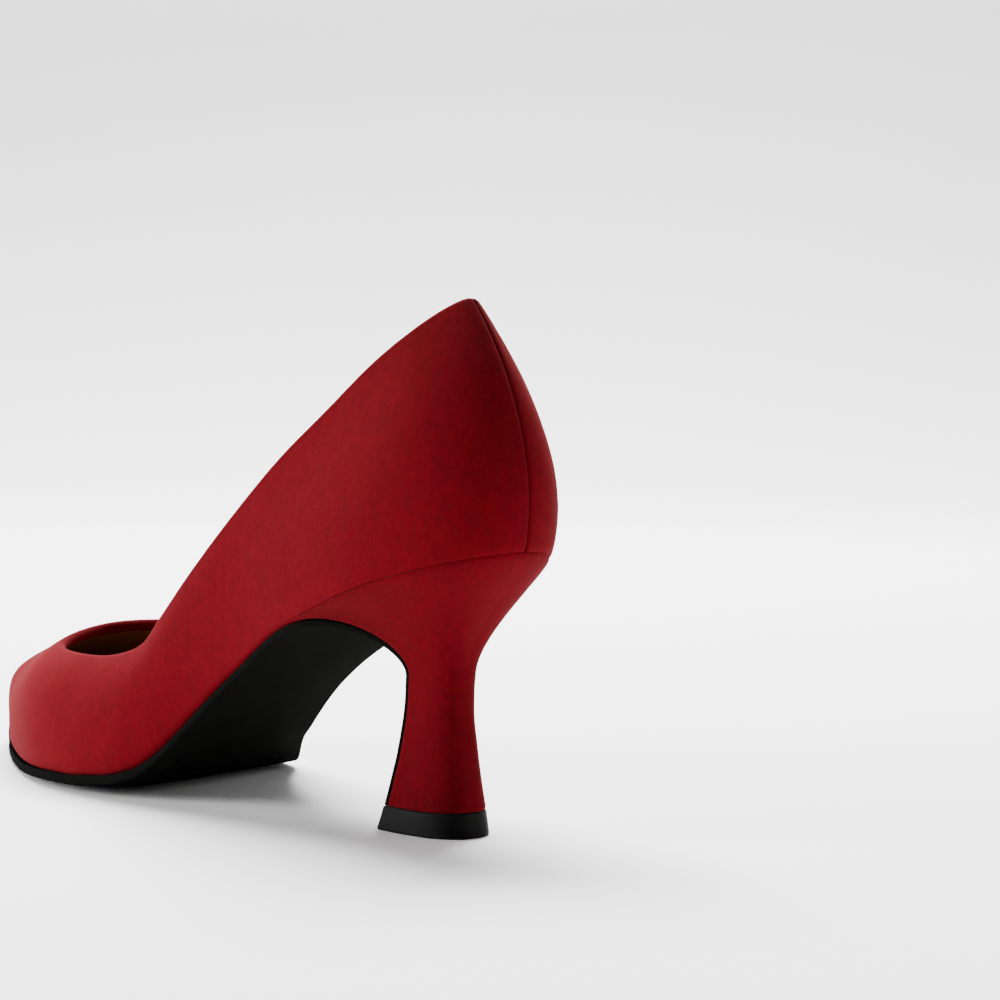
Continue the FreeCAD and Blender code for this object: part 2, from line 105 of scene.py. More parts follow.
# One row per rib, from the back seam round the outer side, the toe and the inner side:
# lower edge (s, w), topline (s, w, z), lean at the bottom, lean at the top, handle lengths.
RIBS = [
    ((1.4, -0.4), (20.3, -0.6, 121.3), 14, 42, .42, .21),
    ((3.1, 7.7), (23.0, 4.3, 119.5), 14, 37, .42, .23),
    ((9.2, 15.8), (29.4, 10.4, 113.9), 13, 26, .40, .27),
    ((20, 21.8), (39, 15, 106.2), 11, 17, .37, .32),
    ((36, 25.6), (52, 18.8, 95.4), 9, 13, .35, .33),
    ((56, 26), (67, 21.8, 84.1), 9, 12, .35, .33),
    ((78, 25), (83, 24.3, 70.5), 12, 12, .35, .33),
    ((98, 26.8), (98, 26.6, 56.6), 14, 16, .35, .33),
    ((113, 30.3), (109.5, 28, 45.3), 14, 22, .35, .33),
    ((125, 33.8), (118, 28.9, 37.6), 13, 30, .35, .33),
    ((141, 36.3), (134, 28.9, 33.8), 12, 38, .35, .35),
    ((160, 35.0), (154.5, 27.8, 33.2), 10, 46, .35, .38),
    ((182, 28), (171, 22.4, 34.2), 8, 56, .32, .42),
    ((210, 15.5), (178.5, 12, 36.4), 6, 65, .26, .45),
    ((239, -4), (180.5, 0.5, 38.0), 5, 68, .20, .47),
    ((212, -19), (176.5, -10.5, 38.5), 6, 66, .26, .45),
    ((184, -30), (166.5, -20, 38.0), 8, 58, .32, .42),
    ((162, -36.3), (150.5, -25.8, 36.8), 10, 48, .35, .38),
    ((143, -33.6), (132, -26.6, 38.0), 12, 38, .35, .35),
    ((126, -25.4), (117, -26.3, 44.0), 14, 28, .35, .33),
    ((108, -20.5), (104.5, -25.2, 53.8), 14, 16, .35, .33),
    ((92, -18.2), (91, -24, 64), 14, 12, .35, .33),
    ((74, -18.0), (76, -22.6, 76.4), 12, 12, .35, .33),
    ((54, -21.6), (62, -20.6, 87.2), 10, 12, .35, .33),
    ((35, -23.2), (49, -17.6, 97.4), 9, 13, .35, .33),
    ((20.2, -19.5), (38, -14.4, 106.6), 14, 16, .38, .32),
    ((9.8, -14.0), (29.5, -10.4, 113.4), 18, 25, .40, .27),
    ((3.6, -7.8), (23.4, -5.4, 118.9), 15, 36, .42, .23),
]
RIB_COUNT = len(RIBS)

# Places round the shoe are counted in turns. The back seam is at 0 and the inner quarter's
# seam between the ribs 20 and 21. SEAM is half the gap of a seam.
MEDIAL_SEAM = 20.7 / RIB_COUNT
SEAM = 0.00008


def clamp(value):
    return max(0.0, min(1.0, value))


def between(pair, share):
    return pair[0] + (pair[1] - pair[0]) * share


def smooth(table):
    """Monotone cubic through (x, y) pairs, straight beyond the ends."""
    slopes = [(after[1] - before[1]) / (after[0] - before[0])
              for before, after in zip(table, table[1:])]
    tangents = [slopes[0]]
    for before, after in zip(slopes, slopes[1:]):
        tangents.append(0.0 if before * after <= 0 else 2 * before * after / (before + after))
    tangents.append(slopes[-1])

    def value(x):
        if x <= table[0][0]:
            return table[0][1] + tangents[0] * (x - table[0][0])
        if x >= table[-1][0]:
            return table[-1][1] + tangents[-1] * (x - table[-1][0])
        i = max(k for k in range(len(table) - 1) if table[k][0] <= x)
        (x0, y0), (x1, y1) = table[i], table[i + 1]
        gap = x1 - x0
        t = (x - x0) / gap
        return (y0 * (1 + 2 * t) * (1 - t) ** 2 + gap * tangents[i] * t * (1 - t) ** 2
                + y1 * t * t * (3 - 2 * t) - gap * tangents[i + 1] * t * t * (1 - t))
    return value


def closed(rows):
    """Closed smooth curve through rows of numbers; the argument counts turns."""
    count = len(rows)

    def value(turn):
        place = (turn % 1.0) * count
        i = int(place) % count
        t = place - int(place)
        near = (rows[i - 1], rows[i], rows[(i + 1) % count], rows[(i + 2) % count])
        return [0.5 * (2 * b + (c - a) * t + (2 * a - 5 * b + 4 * c - d) * t * t
                       + (3 * b - a - 3 * c + d) * t ** 3) for a, b, c, d in zip(*near)]
    return value


def bezier(controls, t):
    weights = ((1 - t) ** 3, 3 * t * (1 - t) ** 2, 3 * t * t * (1 - t), t ** 3)
    return (controls[0] * weights[0] + controls[1] * weights[1]
            + controls[2] * weights[2] + controls[3] * weights[3])


foot = closed([row[0] for row in RIBS])
topline = closed([row[1] for row in RIBS])
shaping = closed([row[2:] for row in RIBS])

# Along the shoe: height of the lower edge, how much it skews across, how far the inner side
# is lifted under the arch of the foot, how far the rim curls up, and the sole's thickness.
profile = smooth([(-10, 69), (0, 65.8), (23, 59.2), (38, 54.0), (52, 48.8), (66, 43.6), (80, 36.6),
                  (91, 30.2), (101, 23.6), (110, 17.0), (118, 11.3), (126, 6.7), (136, 3.4),
                  (150, 2.3), (165, 2.2), (180, 2.4), (200, 3.6), (220, 5.8), (240, 8.6)])
skew = smooth([(0, 0), (56, 0), (66, .06), (80, .15), (100, .23), (120, .27), (140, .28),
               (165, .12), (180, 0), (240, 0)])
lift = smooth([(0, 0), (57, 0), (66, 1.5), (82, 4), (97, 5), (113, 5.6), (124, 5.6), (133, 3.2),
               (140, .4), (147, 0), (160, 0), (240, 0)])
curl = smooth([(0, 0), (106, 0), (116, .9), (125, 1.9), (133, 1.8), (142, 1.4), (200, 1.2), (240, 1.0)])
thick = smooth([(0, 1.7), (60, 1.7), (100, 2.0), (120, 2.2), (135, 2.4), (240, 2.4)])

# Half the width of the forepart, bend of the skew on the inner side, and the inner side's
# share of the curl. Behind WAIST_END the inner lift grows, and ahead of it the middle line
# shifts to the inner side, both over WAIST_FADE.
HALF_WIDTH, SKEW_BEND, INNER_CURL = 34, 0.010, 0.4
WAIST_END, WAIST_FADE = 120, 60


def seat(s, w):
    """Height of the surface on which upper and sole meet."""
    across = w if w > 0 else w * (1 + SKEW_BEND * w)
    z = profile(s + skew(s) * across)
    if w < 0:
        z += lift(s) * (w / HALF_WIDTH) ** 2 * (1 + max(0.0, WAIST_END - s) / WAIST_FADE)
    return z + curl(s) * (w / HALF_WIDTH) ** 4 * (1 if w > 0 else INNER_CURL)


def edge(u):
    """Point of the lower edge of the upper, u turns from the back seam."""
    s, w = foot(u)
    return point(s, w, seat(s, w))


def outward(u):
    """Level normal of the lower edge, away from the shoe."""
    step = 0.004
    before, after = foot(u - step), foot(u + step)
    return point(before[1] - after[1], after[0] - before[0], 0).normalized()


ribs = {}


def rib(u):
    """Four control points of one rib, then the lengths of its lower and upper handle."""
    key = round(u % 1.0, 7)
    if key not in ribs:
        lean_low, lean_high, reach_low, reach_high = shaping(u)
        low, high, normal = edge(u), point(*topline(u)), outward(u)
        span = (low - high).length
        reach_low, reach_high = reach_low * span, reach_high * span
        lean_low, lean_high = math.radians(lean_low), math.radians(lean_high)
        rising = normal * math.sin(lean_low) + UP * math.cos(lean_low)
        falling = normal * math.sin(lean_high) - UP * math.cos(lean_high)
        ribs[key] = (low, low + rising * reach_low, high + falling * reach_high, high,
                     reach_low, reach_high)
    return ribs[key]


def wall(u, v):
    """Outside of the upper, v from 0 at the lower edge to 1 at the topline."""
    return bezier(rib(u), v)


def wall_at(u, v, depth):
    if depth == 0:
        return wall(u, v)
    step = 0.0015
    along = wall(u + step, v) - wall(u - step, v)
    rising = wall(u, min(v + step, 1)) - wall(u, max(v - step, 0))
    return wall(u, v) - rising.cross(along).normalized() * depth


# The line to which the lasting margin is turned: its ends, the share by which it follows
# the edge sideways, and its shift to the inner side in the forepart.
MIDDLE_START, MIDDLE_END, MIDDLE_FOLLOW, MIDDLE_SHIFT = 26, 212, 0.3, 2.0


def inner_side(u):
    """Level direction from the lower edge to the middle of the shoe, and the distance."""
    s, w = foot(u)
    sideways = MIDDLE_FOLLOW * w - MIDDLE_SHIFT * clamp((s - WAIST_END) / WAIST_FADE)
    way = point(min(max(s, MIDDLE_START), MIDDLE_END), sideways, 0) - point(s, w, 0)
    return way.normalized(), way.length


# The q at which the bead of the topline ends; the fold inside goes on from there to q 4.
BEAD_END = 3.6


def turned_edge(u, q):
    """Outside of the turned topline, q from 3 at the top of the wall to 4 at the cut edge."""
    step = 0.002
    top = wall(u, 1)
    up = (top - wall(u, 1 - step)).normalized()
    out = up.cross(wall(u + step, 1) - wall(u - step, 1)).normalized()
    if q <= BEAD_END:
        angle = math.pi * (q - 3) / (BEAD_END - 3)
        return top - out * FOLD_RADIUS + (out * math.cos(angle) + up * math.sin(angle)) * FOLD_RADIUS
    return top - out * (2 * FOLD_RADIUS) - up * (FOLD_DROP * (q - BEAD_END) / (4 - BEAD_END))


def corner(u, depth):
    """Radius of the rounded lower edge at a depth, and the share of the wall that it takes."""
    radius = max(CORNER, depth + CORNER_SPARE)
    return radius, radius / (3 * rib(u)[4])


def layer(u, q, depth):
    """Point of the upper at a depth: q 0-1 lasting margin, 1-2 rounded lower edge, 2-3 wall,
    3-4 turned topline and the part of it that lies inside."""
    if q >= 3:
        if depth == 0:
            return turned_edge(u, q)
        turn_step, fold_step = 0.0015, 0.012
        along = turned_edge(u + turn_step, q) - turned_edge(u - turn_step, q)
        over = turned_edge(u, min(q + fold_step, 4)) - turned_edge(u, max(q - fold_step, 3))
        return turned_edge(u, q) - over.cross(along).normalized() * depth
    radius, share = corner(u, depth)
    if q >= 2:
        return wall_at(u, share + (1 - share) * (q - 2), depth)
    rim = edge(u)
    inward, reach = inner_side(u)
    width = min(MARGIN, MARGIN_SHARE * reach)
    flat = rim + inward * between((width, radius), min(q, 1))
    flat.z = seat(flat.x, flat.y) + depth
    if q <= 1:
        return flat
    t = q - 1
    bend = rim + inward * depth
    bend.z = flat.z
    return flat * (1 - t) ** 2 + bend * (2 * t * (1 - t)) + wall_at(u, share, depth) * t * t


def under_top(u, drop, depth):
    """The q of the wall that lies a drop below the topline."""
    share = corner(u, depth)[1]
    return 2 + (1 - drop / (3 * rib(u)[5]) - share) / (1 - share)


# The heel by height: s of its back, s of its breast, half its width. SQUARE is the exponent
# of its squared-off outline; 2 would be an ellipse.
heel_back = smooth([(0, 19.6), (5.3, 20.5), (12, 21.4), (20, 22.5), (28, 23.5), (34, 23.3), (38, 22.4)])
heel_front = smooth([(0, 43.1), (5.6, 40.8), (11.3, 39.8), (18.6, 38.3), (30.6, 36.5), (38, 36.0)])
heel_half = smooth([(0, 10.1), (5.3, 9.4), (11.3, 8.3), (18.6, 7.3), (30.6, 6.5), (38, 6.5)])
SQUARE = 2.7


def heel_section(z, u):
    """Outline of the heel at a height: u 0 at the back, 1 and -1 at the breast's corners."""
    back, front, half = heel_back(z), heel_front(z), heel_half(z)
    angle = u * math.pi / 2
    cosine, sine = math.cos(angle), math.sin(angle)
    reach = (abs(cosine) ** SQUARE + abs(sine) ** SQUARE) ** (-1 / SQUARE)
    return point(front - (front - back) * cosine * reach, half * sine * reach, z)


def turn_at(s, side):
    """Turns from the back seam at which the outer (1) or inner (-1) lower edge reaches s."""
    low, high = (0.02, 0.45) if side > 0 else (0.98, 0.55)
    for _ in range(50):
        middle = (low + high) / 2
        low, high = (middle, high) if foot(middle)[0] < s else (low, middle)
    return middle if side > 0 else middle - 1


OUTER_TIP, INNER_TIP = turn_at(SOLE_START, 1), turn_at(SOLE_START, -1)

# The flare of the heel, first at the back and then at the breast's corners: handle above
# the neck, lean and handle below the seat. FLARE_PULL bends the corners, given for the
# outer one, and SEAT_GAP is the gap below the seat.
NECK_HANDLE, FLARE_LEAN, FLARE_HANDLE = (10, 6), (28, 90), (8, 10)
FLARE_PULL = point(-9.5, -8, 3.4)
SEAT_GAP = 0.1


def heel_side(u, v):
    """Outside of the heel: v 0 at the top piece, 0.5 at the neck, 1 at the seat."""
    if v <= 0.5:
        return heel_section(between((TOP_PIECE, NECK), v / 0.5), u)
    side = abs(u)
    corner_share = side ** 3
    turn = OUTER_TIP * u if u >= 0 else -INNER_TIP * u
    low, normal = heel_section(NECK, u), outward(turn)
    high = edge(turn) - UP * SEAT_GAP
    low_handle = low + UP * between(NECK_HANDLE, side)
    lean = math.radians(between(FLARE_LEAN, corner_share))
    reach = between(FLARE_HANDLE, side) * (1 - corner_share)
    high_handle = high - normal * (math.sin(lean) * reach) - UP * (math.cos(lean) * reach)
    pull = point(FLARE_PULL.x, FLARE_PULL.y if u > 0 else -FLARE_PULL.y, FLARE_PULL.z)
    return bezier((low, low_handle, high_handle + pull * corner_share, high), (v - 0.5) / 0.5)


def heel_layer(u, v, depth):
    step = 0.01
    around = heel_side(min(u + step, 1), v) - heel_side(max(u - step, -1), v)
    rising = heel_side(u, min(v + step, 1)) - heel_side(u, max(v - step, 0))
    return heel_side(u, v) - rising.cross(around).normalized() * depth


# ---- mesh helpers -------------------------------------------------------------------------
def spread(first, last, count):
    """Evenly spaced numbers, both ends included."""
    return [first + (last - first) * i / (count - 1) for i in range(count)]


def rounding(distance, reach, depth):
    """Depth by which a border sinks, falling to nothing at reach from its edge."""
    return depth * max(0, 1 - distance / reach) ** 2


def ripple(place, size, height):
    return height * noise.noise(place / size)


def finish_mesh(obj, sharp=50):
    """Consistent outward normals, smooth shading, sharp only at real edges."""
    merge_distance = 1e-7
    work = bmesh.new()
    work.from_mesh(obj.data)
    bmesh.ops.remove_doubles(work, verts=work.verts, dist=merge_distance)
    bmesh.ops.recalc_face_normals(work, faces=work.faces)
    work.to_mesh(obj.data)
    work.free()
    obj.data.polygons.foreach_set("use_smooth", [True] * len(obj.data.polygons))
    obj.data.set_sharp_from_angle(angle=math.radians(sharp))
    obj.data.update()


def make(name, verts, faces, materials, nodes=(), face_materials=None, sharp=50):
    """One visual piece that rides on the shoe and takes the place of the given nodes."""
    mesh = bpy.data.meshes.new(name)
    mesh.from_pydata([world(place) for place in verts], [], faces)
    obj = bpy.data.objects.new(name, mesh)
    bpy.context.scene.collection.objects.link(obj)
    for material in materials:
        mesh.materials.append(material)
    if face_materials:
        mesh.polygons.foreach_set("material_index", face_materials)
    finish_mesh(obj, sharp)
    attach(obj, BODY)
    if nodes:
        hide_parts(*nodes)
    return obj


def sheet_solid(outer, inner):
    """Vertices and faces of the closed solid between two grids of points."""
    rows, columns = len(outer), len(outer[0])
    verts = [place for row in outer for place in row] + [place for row in inner for place in row]

    def at(i, j, side):
        return side * rows * columns + i * columns + j
    faces = []
    for i in range(rows - 1):
        for j in range(columns - 1):
            faces.append((at(i, j, 0), at(i + 1, j, 0), at(i + 1, j + 1, 0), at(i, j + 1, 0)))
            faces.append((at(i, j, 1), at(i, j + 1, 1), at(i + 1, j + 1, 1), at(i + 1, j, 1)))
    for i in range(rows - 1):
        for j in (0, columns - 1):
            faces.append((at(i, j, 0), at(i + 1, j, 0), at(i + 1, j, 1), at(i, j, 1)))
    for j in range(columns - 1):
        for i in (0, rows - 1):
            faces.append((at(i, j, 0), at(i, j + 1, 0), at(i, j + 1, 1), at(i, j, 1)))
    return verts, faces


def tube_rows(rows):
    """Closed solid through equal closed loops, with flat ends."""
    count = len(rows[0])
    verts = [place for row in rows for place in row]
    faces = []
    for i in range(len(rows) - 1):
        for j in range(count):
            k = (j + 1) % count
            faces.append((i * count + j, i * count + k, (i + 1) * count + k, (i + 1) * count + j))
    last = (len(rows) - 1) * count
    for start in (0, last):
        faces.append(tuple(range(start, start + count)))
    return verts, faces


# ---- materials ----------------------------------------------------------------------------
class Shader:
    """A Principled material with a few node helpers."""

    def __init__(self, name, **values):
        self.mat = bpy.data.materials.new(name)
        self.mat.use_nodes = True
        self.nodes, self.links = self.mat.node_tree.nodes, self.mat.node_tree.links
        self.bsdf = self.nodes["Principled BSDF"]
        for key, value in values.items():
            self.bsdf.inputs[key.replace("_", " ")].default_value = value
        self.coord = self.nodes.new("ShaderNodeTexCoord").outputs["Object"]

    def put(self, kind, settings=None, **inputs):
        """Add a node. Its inputs go by name, or as i0 and i1 by number."""
        node = self.nodes.new(kind)
        for key, value in (settings or {}).items():
            setattr(node, key, value)
        for key, value in inputs.items():
            numbered = key[0] == "i" and key[1:].isdigit()
            socket = node.inputs[int(key[1:]) if numbered else key.replace("_", " ")]
            if isinstance(value, bpy.types.NodeSocket):
                self.links.new(value, socket)
            else:
                socket.default_value = value
        return node

    def speckle(self, scale, detail=3.0, rough=0.6, stretch=None):
        vector = self.coord
        if stretch:
            vector = self.put("ShaderNodeMapping", Vector=vector, Scale=stretch).outputs[0]
        return self.put("ShaderNodeTexNoise", Vector=vector, Scale=scale, Detail=detail,
                        Roughness=rough).outputs["Fac"]

    def combine(self, operation, first, second):
        return self.put("ShaderNodeMath", {"operation": operation}, i0=first, i1=second).outputs[0]

    def blend(self, parts):
        """0.5 plus a weighted sum of noises taken about their middle."""
        total = 0.5
        for value, weight in parts:
            centred = self.combine("SUBTRACT", value, 0.5)
            total = self.combine("ADD", self.combine("MULTIPLY", centred, weight), total)
        return total

    def ramp(self, value, stops):
        node = self.put("ShaderNodeValToRGB", Fac=value)
        band = node.color_ramp
        while len(band.elements) < len(stops):
            band.elements.new(0.5)
        for element, (place, colour) in zip(band.elements, stops):
            element.position = place
            element.color = (*colour, 1)
        return node.outputs["Color"]

    def span(self, value, low, high):
        return self.put("ShaderNodeMapRange", Value=value, To_Min=low, To_Max=high).outputs[0]

    def colour(self, socket):
        self.links.new(socket, self.bsdf.inputs["Base Color"])

    def shades(self, value, colour, dark, bright):
        """Colour by value, from a dark to a bright shade of it."""
        stops = [(0.2, shade(colour, dark)), (0.5, colour), (0.8, shade(colour, bright))]
        self.colour(self.ramp(value, stops))

    def roughness(self, socket):
        self.links.new(socket, self.bsdf.inputs["Roughness"])

    def bump(self, height, strength, distance):
        node = self.put("ShaderNodeBump", Height=height, Strength=strength, Distance=distance)
        self.links.new(node.outputs[0], self.bsdf.inputs["Normal"])


def shade(colour, factor):
    return tuple(channel * factor for channel in colour)


def suede(name, colour):
    """Napped leather: short fibres that lie slightly along the shoe's height, and clouds."""
    shader = Shader(name, Specular_IOR_Level=0.03, Sheen_Weight=0.05, Sheen_Roughness=0.4,
                    Sheen_Tint=(1.0, 0.1, 0.12, 1))
    fine = shader.speckle(2300, 2, 0.7)
    nap = shader.speckle(560, 3, 0.6, (1, 1, 0.55))
    cloud = shader.speckle(120, 3, 0.55)
    wide = shader.speckle(28, 2, 0.5)
    mixed = shader.blend([(fine, 0.8), (nap, 0.65), (cloud, 0.14), (wide, 0.12)])
    shader.shades(mixed, colour, 0.72, 1.3)
    shader.roughness(shader.span(nap, 0.82, 0.98))
    shader.bump(shader.blend([(fine, 0.5), (nap, 0.5)]), 0.3, 0.0004)
    return shader.mat


def leather(name, colour, grain=1500, rough=(0.42, 0.6)):
    """Smooth leather with a grain of small cells and pores."""
    shader = Shader(name, Specular_IOR_Level=0.4)
    cells = shader.put("ShaderNodeTexVoronoi", {"feature": "DISTANCE_TO_EDGE"},
                       Vector=shader.coord, Scale=grain).outputs[0]
    pores = shader.speckle(grain * 1.8, 2, 0.6)
    cloud = shader.speckle(60, 4, 0.6)
    shader.shades(shader.blend([(cloud, 1.0), (pores, 0.35)]), colour, 0.7, 1.25)
    shader.roughness(shader.span(cloud, *rough))
    height = shader.combine("ADD", shader.combine("MULTIPLY", cells, 0.8),
                            shader.combine("MULTIPLY", pores, 0.3))
    shader.bump(height, 0.25, 0.0003)
    return shader.mat


def plain(name, colour, rough, scale, contrast=0.3, metal=0.0, bump=0.15, stretch=None, specular=0.5):
    """Dull boards, textiles, moulded plastic and metal: speckled colour and a fine surface."""
    shader = Shader(name, Metallic=metal, Specular_IOR_Level=specular)
    speck = shader.speckle(scale, 4, 0.65, stretch)
    cloud = shader.speckle(scale / 14, 3, 0.5)
    shader.shades(shader.blend([(speck, 0.8), (cloud, 0.6)]), colour, 1 - contrast, 1 + contrast)
    shader.roughness(shader.span(speck, rough - 0.08, rough + 0.1))
    shader.bump(speck, bump, 0.0003)
    return shader.mat


def sole_finish(name, dark, bright):
    """Matt black sole with faint scuffs and almost no shine."""
    shader = Shader(name, Specular_IOR_Level=0.0004)
    fine, scuff = shader.speckle(1700, 3, 0.6), shader.speckle(90, 4, 0.6)
    shader.colour(shader.ramp(scuff, [(0.3, dark), (0.7, bright)]))
    shader.roughness(shader.span(scuff, 0.6, 0.8))
    shader.bump(fine, 0.12, 0.0002)
    return shader.mat


RED = (0.086, 0.0016, 0.0042)
suede_upper = suede("red_suede", RED)
# The heel's cover uses the same suede painted 6 % darker. This is painted shade on the heel, which
# stands in shade below the seat.
suede_heel_painted_shade = suede("red_suede_heel_painted_shade", shade(RED, 0.94))
raw_edge = plain("suede_cut_edge", (0.36, 0.05, 0.045), 0.9, 1800)
lining_leather = leather("tan_lining", (0.16, 0.075, 0.034))
sock_leather = leather("tan_sock", (0.19, 0.092, 0.043), 1300)
sole_black = sole_finish("sole_black", (0.0040, 0.0040, 0.0039), (0.0054, 0.0053, 0.0051))
rubber = plain("top_piece_rubber", (0.0036, 0.0036, 0.0035), 0.6, 900, bump=0.25, specular=0.06)
plastic = plain("heel_plastic", (0.03, 0.03, 0.03), 0.45, 500, 0.15, bump=0.05)
steel = plain("steel", (0.56, 0.56, 0.58), 0.34, 700, 0.12, metal=1.0, bump=0.08, stretch=(1, 0.2, 1))
board = plain("fibre_board", (0.33, 0.2, 0.11), 0.85, 1100)
stiffener = plain("stiffener", (0.6, 0.57, 0.48), 0.8, 1300)
textile = plain("cotton", (0.62, 0.6, 0.56), 0.95, 1600)
tape = plain("nylon_tape", (0.03, 0.012, 0.012), 0.8, 1500)
cork = plain("cork_filler", (0.32, 0.2, 0.1), 0.9, 450, 0.45)
latex = plain("latex_foam", (0.66, 0.62, 0.52), 0.95, 1000)

# Pieces inside the shoe keep their CAD shape and get a material.
INSIDE = {"heel_counter": stiffener, "toe_puff": stiffener, "lateral_interlining": textile,
          "medial_interlining": textile, "topline_tape": tape, "back_seam_tape": tape,
          "insole_board": board, "sock_foam": latex, "forepart_filler": cork, "shank_board": board,
          "steel_shank": steel, "shank_rivets": steel, "heel_block": plastic, "heel_tube": steel,
          "top_piece_dowel": steel, "heel_screw": steel, "heel_nails": steel}
for node, material in INSIDE.items():
    inside_mesh = frame["nodes"][node].data
    inside_mesh.materials.clear()
    inside_mesh.materials.append(material)


# ---- outer leather ------------------------------------------------------------------------
# How a panel's ends roll in at a seam: distance from the end and depth.
ROLL = [(0.0, 0.62), (0.12, 0.40), (0.28, 0.24), (0.5, 0.12), (0.8, 0.04), (1.2, 0.0)]
SUEDE_COLUMNS_PER_RIB = 10
SUEDE_Q = (spread(0, 1, 5)[:-1] + spread(1, 2, 8)[:-1] + spread(2, 3, 56)[:-1]
           + spread(3, BEAD_END, 13)[:-1] + spread(BEAD_END, 4, 6))
# Size and height of the unevenness of the wall, and how fast it fades in from its borders.
WAVE, PUCKER, FADE_IN = (17, 0.10), (5, 0.035), 8


def suede_columns(start, end):
    """Turns and depths of the columns of a panel, closer together where its ends roll in."""
    def turns(u, distance):
        step = 0.002
        return distance * 2 * step / (wall(u + step, 0.5) - wall(u - step, 0.5)).length
    first = [(start + turns(start, distance), depth) for distance, depth in ROLL]
    last = [(end - turns(end, distance), depth) for distance, depth in reversed(ROLL)]
    per_turn, clearance = RIB_COUNT * SUEDE_COLUMNS_PER_RIB, 0.3
    low = math.ceil(first[-1][0] * per_turn + clearance)
    high = math.floor(last[0][0] * per_turn - clearance)
    return first + [(i / per_turn, 0.0) for i in range(low, high + 1)] + last


def suede_panel(name, start, end, node):
    step = 0.5
    outer, inner = [], []
    for u, sunk in suede_columns(start, end):
        row = []
        for q in SUEDE_Q:
            place = layer(u, q, sunk)
            if 2 < q < 3:
                calm = min(1, (q - 2) * FADE_IN, (3 - q) * FADE_IN)
                normal = (layer(u, q, 0) - layer(u, q, step)) / step
                place = place + normal * (calm * (ripple(place, *WAVE) + ripple(place, *PUCKER)))
            row.append(place)
        outer.append(row)
        inner.append([layer(u, q, SUEDE) for q in SUEDE_Q])
    verts, faces = sheet_solid(outer, inner)
    # The faces after the two skins go in pairs, and the second is the cut edge of the fold.
    skins = 2 * (len(outer) - 1) * (len(SUEDE_Q) - 1)
    face_materials = [0] * len(faces)
    for i in range(len(outer) - 1):
        face_materials[skins + 2 * i + 1] = 1
    return make(name, verts, faces, [suede_upper, raw_edge], [node], face_materials)


suede_panel("upper_vamp_suede", SEAM, MEDIAL_SEAM - SEAM, "upper_vamp")
suede_panel("medial_quarter_suede", MEDIAL_SEAM + SEAM, 1 - SEAM, "medial_quarter")


# ---- lining -------------------------------------------------------------------------------
LINING_COLUMNS_PER_RIB = 8
# Each lining piece from rib to rib; the heel grip crosses the back seam.
LININGS = (("heel_grip", -2.6, 2.6), ("lateral_quarter_lining", 2.6, 9.6),
           ("vamp_lining", 9.6, 18.4), ("medial_quarter_lining", 18.4, 25.4))
# How deep the ends of a piece sink at a seam, and size and height of its waviness.
LINING_DIP, LINING_WAVE = 0.25, (11, 0.075)
LINING_ROWS = 36


def lining_panel(name, first_rib, last_rib):
    start, end = first_rib / RIB_COUNT + SEAM, last_rib / RIB_COUNT - SEAM
    count = max(4, int((end - start) * RIB_COUNT * LINING_COLUMNS_PER_RIB))
    border, body, step = 0.0012, 0.003, 0.3
    turns = [start, start + border] + spread(start + body, end - body, count) + [end - border, end]
    stations = spread(0, 1, 4)[:-1] + spread(1, 2, 6)[:-1]
    outer, inner = [], []
    for u in turns:
        back_top, face_top = (under_top(u, LINING_DROP, depth) for depth in (LINING_BACK, LINING_FACE))
        outer.append([layer(u, q, LINING_BACK) for q in stations + spread(2, back_top, LINING_ROWS)])
        depth = LINING_FACE - (LINING_DIP if u in (start, end) else 0.0)
        row = []
        for q in stations + spread(2, face_top, LINING_ROWS):
            place = layer(u, q, depth)
            if q > 2:
                inward = (place - layer(u, q, depth - step)) / step
                place = place + inward * ripple(place, *LINING_WAVE)
            row.append(place)
        inner.append(row)
    verts, faces = sheet_solid(outer, inner)
    return make(name + "_leather", verts, faces, [lining_leather], [name])


for lining_name, first_rib, last_rib in LININGS:
    lining_panel(lining_name, first_rib, last_rib)


# ---- insock -------------------------------------------------------------------------------
# Heights of its two sides above the seat, its inset from the lower edge and the largest
# share of the way to the middle that the inset takes.
SOCK_BOTTOM, SOCK_TOP, SOCK_INSET, SOCK_SHARE = 6.1, 6.75, 3.1, 0.7
# Its crown, size and height of its waviness, reach and depth of its rounded border.
SOCK_CROWN, SOCK_WAVE, SOCK_BORDER = 0.35, (14, 0.12), (0.9, 0.35)
# Distances of the columns from the border, where the even columns start, and the width
# below which all these distances shrink.
SOCK_RIM, SOCK_BODY, SOCK_NARROW = [0, 0.25, 0.6, 1.2, 2.4], 4, 14
SOCK_ROWS, SOCK_COLUMNS = 90, 15


def bottom_point(u, inset):
    """Point of the seat at a distance from the lower edge."""
    inward, reach = inner_side(u)
    place = edge(u) + inward * min(inset, SOCK_SHARE * reach)
    return point(place.x, place.y, seat(place.x, place.y))


def insock():
    top, bottom = [], []
    heel_turn, toe_turn = 0.0015, 0.4985
    for along in spread(0, 1, SOCK_ROWS):
        u = between((heel_turn, toe_turn), 0.5 - 0.5 * math.cos(math.pi * along))
        outer, inner = bottom_point(u, SOCK_INSET), bottom_point(1 - u, SOCK_INSET)
        width = (outer - inner).length
        scale = min(1, width / SOCK_NARROW)
        rim, body = [distance * scale for distance in SOCK_RIM], SOCK_BODY * scale
        far_rim = [width - distance for distance in reversed(rim)]
        places = rim + spread(body, width - body, SOCK_COLUMNS) + far_rim
        tops, bottoms = [], []
        for across in places:
            place = outer.lerp(inner, across / width)
            base = seat(place.x, place.y)
            dip = rounding(min(across, width - across), *SOCK_BORDER)
            crown = SOCK_CROWN * math.sin(math.pi * across / width)
            wave = ripple(point(place.x, place.y, 0), *SOCK_WAVE)
            tops.append(point(place.x, place.y, base + SOCK_TOP - dip + crown + wave))
            bottoms.append(point(place.x, place.y, base + SOCK_BOTTOM))
        top.append(tops)
        bottom.append(bottoms)
    verts, faces = sheet_solid(top, bottom)
    return make("insock", verts, faces, [sock_leather], ["sock_lining"])


